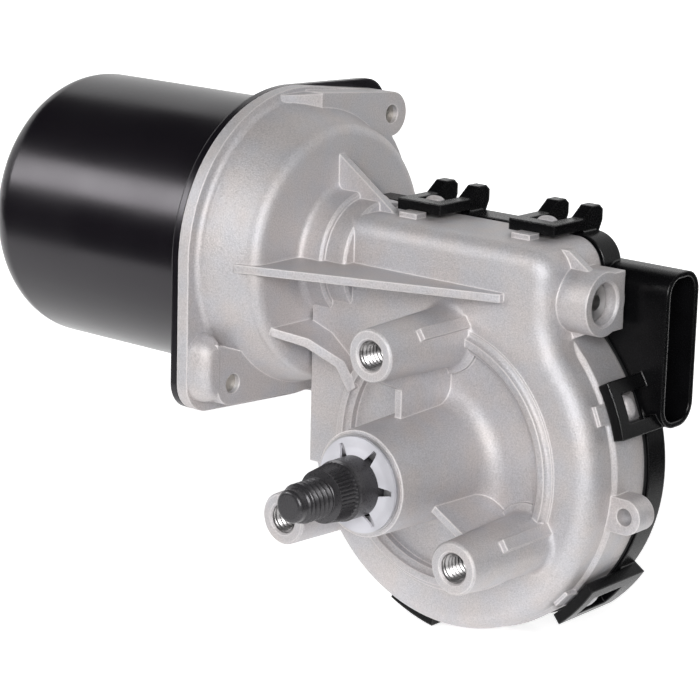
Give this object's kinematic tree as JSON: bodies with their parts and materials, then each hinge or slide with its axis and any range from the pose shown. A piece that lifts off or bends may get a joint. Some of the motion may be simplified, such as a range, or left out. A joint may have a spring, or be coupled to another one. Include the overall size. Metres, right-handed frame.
{
  "type": "wiper motor",
  "caption": "Windscreen wiper motor: black can, cast gear housing with threaded bosses, worm drive, output spindle and clipped cover with connector.",
  "frame": {"origin": "on the output spindle's axis, in the plane of the three mounting boss faces", "axes": "+X along the armature axis from the motor can to the adjuster boss, -Y out along the spindle, +Z from the spindle towards the armature axis"},
  "size_m": [0.1615, 0.0886, 0.1073],
  "materials": {
    "cast_housing": "sand-grained die casting",
    "black_can": "satin black",
    "zinc_steel": "zinc plated",
    "ferrite": "sintered",
    "spring_steel": "rolled",
    "sinter_bronze": "sintered",
    "pale_plastic": "moulded",
    "bearing_steel": "ground",
    "dark_steel": "blackened",
    "seal_rubber": "moulded",
    "cover_plastic": "moulded black",
    "tinned_brass": "tinned",
    "card_board": "laminate",
    "carbon": "pressed carbon",
    "copper": "enamelled wire",
    "dark_plastic": "moulded",
    "pale_washer": "bright rolled",
    "wheel_plastic": "moulded",
    "core_iron": "stacked sheets",
    "bar_copper": "turned"
  },
  "bodies": {
    "motor_body": {"gear_housing": "cast_housing", "motor_can": "black_can", "can_screws": "zinc_steel", "field_magnets": "ferrite", "magnet_springs": "spring_steel", "rear_bearing": "sinter_bronze", "rear_bearing_retainer": "spring_steel", "rear_thrust_pad": "pale_plastic", "bearing_outer_ring": "bearing_steel", "bearing_shields": "spring_steel", "worm_end_bush": "sinter_bronze", "thrust_ball": "bearing_steel", "thrust_plug": "dark_steel", "output_shaft_bushes": "sinter_bronze", "shaft_seal_ring": "seal_rubber", "rim_washer": "zinc_steel", "hub_washer": "pale_plastic", "gear_cover": "cover_plastic", "cover_gasket": "seal_rubber", "connector_blades": "tinned_brass", "lead_strips": "tinned_brass", "park_contacts": "tinned_brass", "brush_card": "card_board", "brush_boxes": "tinned_brass", "brushes": "carbon", "brush_springs": "spring_steel", "choke_coils": "copper", "thermal_switch": "dark_plastic"},
    "output": {"output_shaft": "dark_steel", "star_washer": "pale_washer", "worm_wheel": "wheel_plastic", "drive_plate": "zinc_steel", "park_disc": "tinned_brass"},
    "armature": {"armature_shaft": "bearing_steel", "armature_core": "core_iron", "windings": "copper", "commutator_hub": "dark_plastic", "commutator_bars": "bar_copper", "bearing_inner_ring": "bearing_steel", "bearing_balls": "bearing_steel"}
  },
  "joints": [
    {"name": "armature_spin", "type": "hinge", "parent": "motor_body", "child": "armature", "pos_m": [0, 0.033, 0.035], "axis": [1, 0, 0], "continuous": true},
    {"name": "output_turn", "type": "hinge", "parent": "motor_body", "child": "output", "pos_m": [0, 0, 0], "axis": [0, 1, 0], "continuous": true}
  ],
  "couplings": [
    {"joint": "output_turn", "follows": "armature_spin", "ratio": -0.02}
  ]
}
